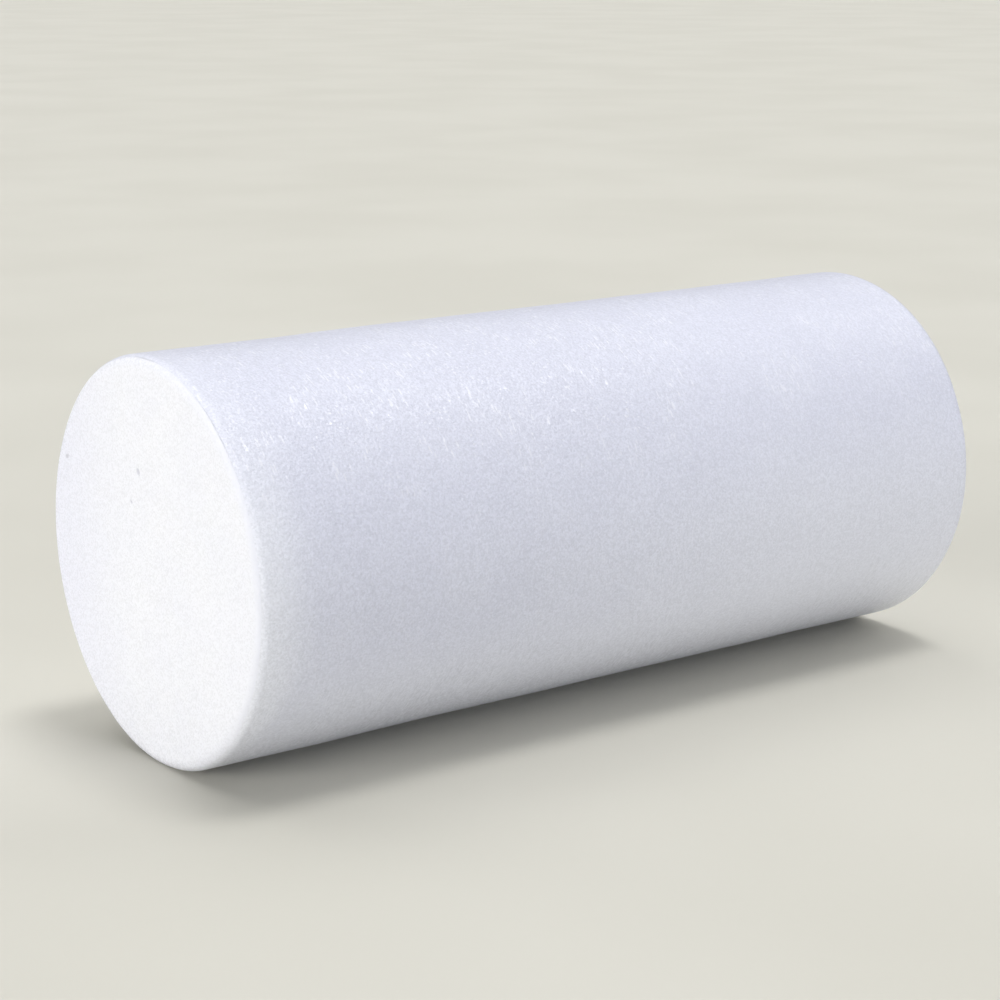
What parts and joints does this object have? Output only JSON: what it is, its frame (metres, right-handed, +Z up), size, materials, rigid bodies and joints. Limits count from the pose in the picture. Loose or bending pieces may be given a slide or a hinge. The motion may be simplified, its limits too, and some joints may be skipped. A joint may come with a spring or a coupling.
{
  "type": "foam roller",
  "caption": "Round white closed-cell foam roller for massage and stretching, a solid log with a smooth skin and square-cut ends, lying on its side.",
  "frame": {"origin": "on the floor, under the middle of the roller lying on its side", "axes": "+X along the roller's own axis, +Z up, +Y across it"},
  "size_m": [0.35, 0.1524, 0.1524],
  "materials": {
    "foam_cut": "matte, cut closed-cell foam",
    "foam_skin": "satin, smooth extruded foam skin"
  },
  "bodies": {
    "root": {"foam_core": "foam_cut", "outer_skin": "foam_skin"}
  },
  "joints": []
}
